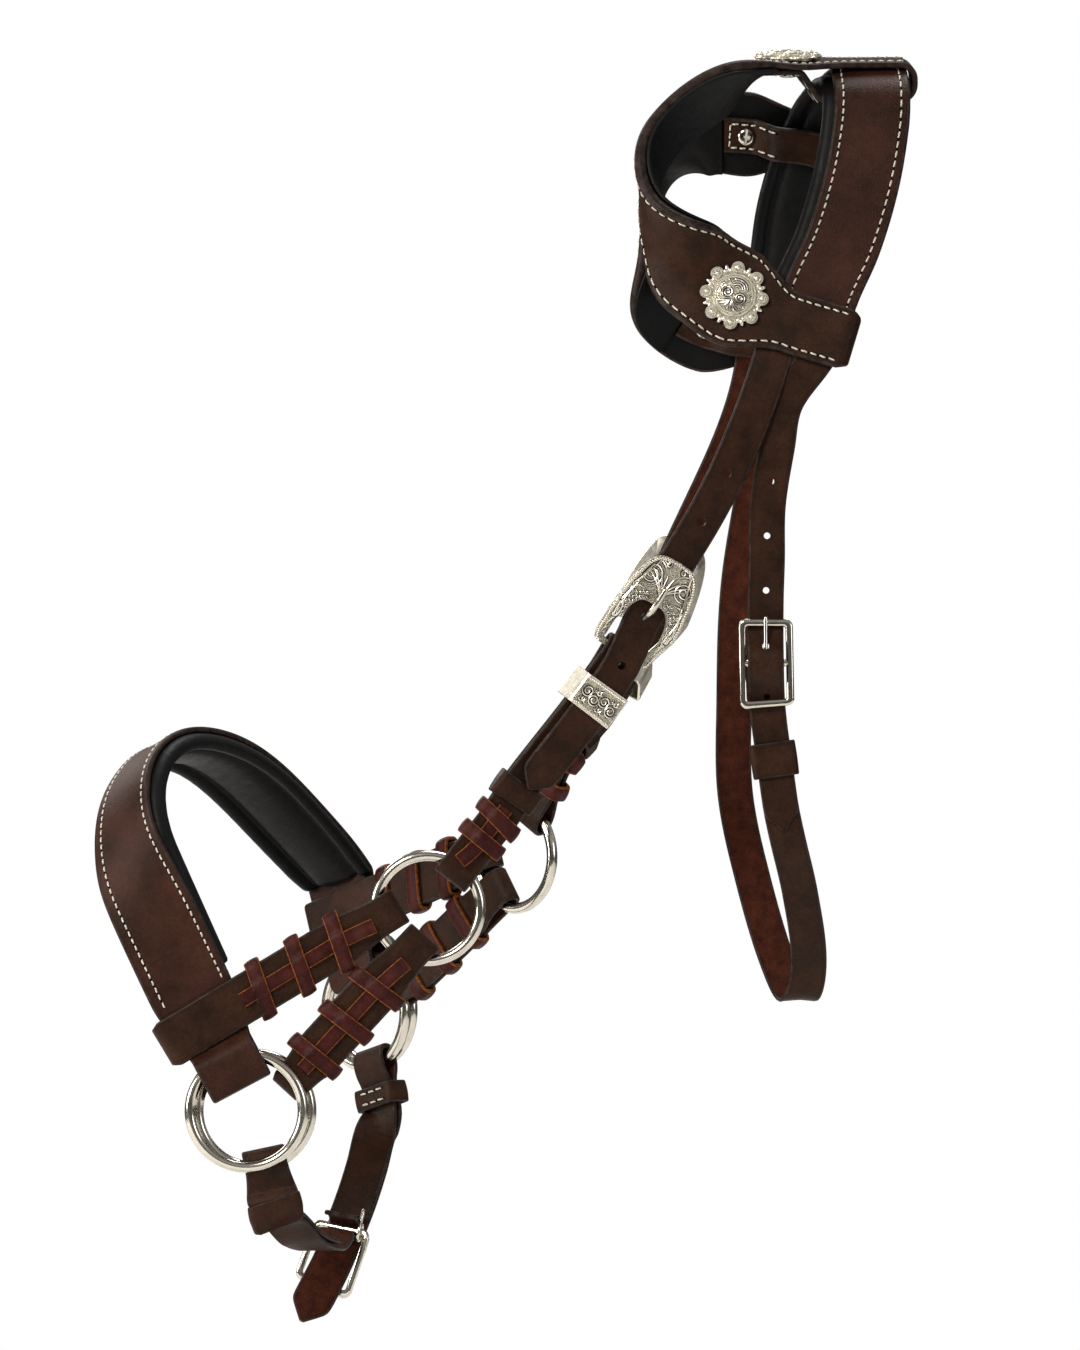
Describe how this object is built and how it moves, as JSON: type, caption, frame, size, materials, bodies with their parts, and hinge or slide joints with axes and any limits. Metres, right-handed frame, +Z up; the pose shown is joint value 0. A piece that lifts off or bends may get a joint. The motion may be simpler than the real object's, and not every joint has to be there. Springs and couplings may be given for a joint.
{
  "type": "sidepull bridle",
  "caption": "Leather sidepull bridle with a padded noseband and crown, ear loops with round conchos, lace-tied connectors to ring groups and a buckled throat strap.",
  "frame": {"origin": "inner face of the padded crown lining at the poll, on the crown's centre line", "axes": "+X towards the horse's tail, +Y towards its right (far) side, +Z up; the nose points along -X"},
  "size_m": [0.369, 0.1667, 0.5642],
  "materials": {
    "strap_leather": "satin",
    "soft_lining": "satin",
    "latigo_lace": "satin",
    "engraved_silver": "satin",
    "polished_nickel": "polished"
  },
  "bodies": {
    "headstall": {"cheek_buckle_left": "engraved_silver", "cheek_buckle_right": "engraved_silver", "cheek_keeper_right": "strap_leather", "cheek_lace_left": "latigo_lace", "cheek_lace_right": "latigo_lace", "cheek_strap_left": "strap_leather", "cheek_strap_right": "strap_leather", "chin_billet": "strap_leather", "chin_buckle": "polished_nickel", "chin_keeper_left": "strap_leather", "chin_keeper_right": "strap_leather", "chin_strap": "strap_leather", "concho_high_left": "engraved_silver", "concho_high_right": "engraved_silver", "concho_low_left": "engraved_silver", "concho_low_right": "engraved_silver", "crown_lining": "soft_lining", "crown_strap": "strap_leather", "ear_lining_left": "soft_lining", "ear_lining_right": "soft_lining", "ear_loop_left": "strap_leather", "ear_loop_right": "strap_leather", "front_connector_left": "strap_leather", "front_connector_right": "strap_leather", "front_lace_left": "latigo_lace", "front_lace_right": "latigo_lace", "noseband": "strap_leather", "noseband_lining": "soft_lining", "rear_connector_left": "strap_leather", "rear_connector_right": "strap_leather", "rear_lace_left": "latigo_lace", "rear_lace_right": "latigo_lace", "screw_high_left": "polished_nickel", "screw_high_right": "polished_nickel", "screw_low_left": "polished_nickel", "screw_low_right": "polished_nickel", "throat_buckle": "polished_nickel"},
    "cheek_ring_left": {"cheek_ring_left": "polished_nickel"},
    "chin_ring_left": {"chin_ring_left": "polished_nickel"},
    "rein_ring_left": {"rein_ring_left": "polished_nickel"},
    "cheek_tongue_left": {"cheek_tongue_left": "polished_nickel"},
    "silver_keeper_left": {"silver_keeper_left": "engraved_silver"},
    "cheek_ring_right": {"cheek_ring_right": "polished_nickel"},
    "chin_ring_right": {"chin_ring_right": "polished_nickel"},
    "rein_ring_right": {"rein_ring_right": "polished_nickel"},
    "cheek_tongue_right": {"cheek_tongue_right": "polished_nickel"},
    "silver_keeper_right": {"silver_keeper_right": "engraved_silver"},
    "cheek_keeper_left": {"cheek_keeper_left": "strap_leather"},
    "throat_tongue": {"throat_tongue": "polished_nickel"},
    "throat_keeper": {"throat_keeper": "strap_leather"},
    "chin_tongue": {"chin_tongue": "polished_nickel"}
  },
  "joints": [
    {"name": "cheek_ring_left_spin", "type": "hinge", "parent": "headstall", "child": "cheek_ring_left", "pos_m": [-0.19228, -0.058, -0.36254], "axis": [0, -1, 0], "continuous": true},
    {"name": "chin_ring_left_spin", "type": "hinge", "parent": "headstall", "child": "chin_ring_left", "pos_m": [-0.26858, -0.058, -0.45159], "axis": [0, -1, 0], "continuous": true},
    {"name": "rein_ring_left_spin", "type": "hinge", "parent": "headstall", "child": "rein_ring_left", "pos_m": [-0.27198, -0.066, -0.45159], "axis": [0, -1, 0], "continuous": true},
    {"name": "cheek_tongue_left_lift", "type": "hinge", "parent": "headstall", "child": "cheek_tongue_left", "pos_m": [-0.10734, -0.058, -0.24946], "axis": [0.8225, 0.2597, -0.5061], "range_deg": [0, 2.5]},
    {"name": "silver_keeper_left_slide", "type": "slide", "parent": "headstall", "child": "silver_keeper_left", "axis": [0.5987, 0, 0.801], "range_m": [-0.003, 0.003]},
    {"name": "cheek_ring_right_spin", "type": "hinge", "parent": "headstall", "child": "cheek_ring_right", "pos_m": [-0.15401, 0, -0.34014], "axis": [0.7071, 0.7071, 0], "continuous": true},
    {"name": "chin_ring_right_spin", "type": "hinge", "parent": "headstall", "child": "chin_ring_right", "pos_m": [-0.22074, 0.06674, -0.40974], "axis": [0.7071, 0.7071, 0], "continuous": true},
    {"name": "rein_ring_right_spin", "type": "hinge", "parent": "headstall", "child": "rein_ring_right", "pos_m": [-0.21743, 0.07474, -0.40898], "axis": [0.7071, 0.7071, 0], "continuous": true},
    {"name": "cheek_tongue_right_lift", "type": "hinge", "parent": "headstall", "child": "cheek_tongue_right", "pos_m": [-0.0961, 0.03911, -0.23886], "axis": [-0.8644, -0.0233, 0.5023], "range_deg": [0, 2.5]},
    {"name": "silver_keeper_right_slide", "type": "slide", "parent": "headstall", "child": "silver_keeper_right", "axis": [0.3905, 0.5783, 0.7163], "range_m": [-0.002, 0.002]},
    {"name": "cheek_keeper_left_slide", "type": "slide", "parent": "headstall", "child": "cheek_keeper_left", "axis": [0.5612, 0, 0.8277], "range_m": [-0.002, 0.004]},
    {"name": "throat_tongue_lift", "type": "hinge", "parent": "headstall", "child": "throat_tongue", "pos_m": [-0.04356, -0.057, -0.25474], "axis": [0.9998, 0, 0.0178], "range_deg": [0, 3]},
    {"name": "throat_keeper_slide", "type": "slide", "parent": "headstall", "child": "throat_keeper", "axis": [0.137, 0, -0.9906], "range_m": [-0.002, 0.003]},
    {"name": "chin_tongue_swing", "type": "hinge", "parent": "headstall", "child": "chin_tongue", "pos_m": [-0.23085, 0.01614, -0.50555], "axis": [0.9507, -0.236, -0.201], "range_deg": [-5, 5]}
  ]
}
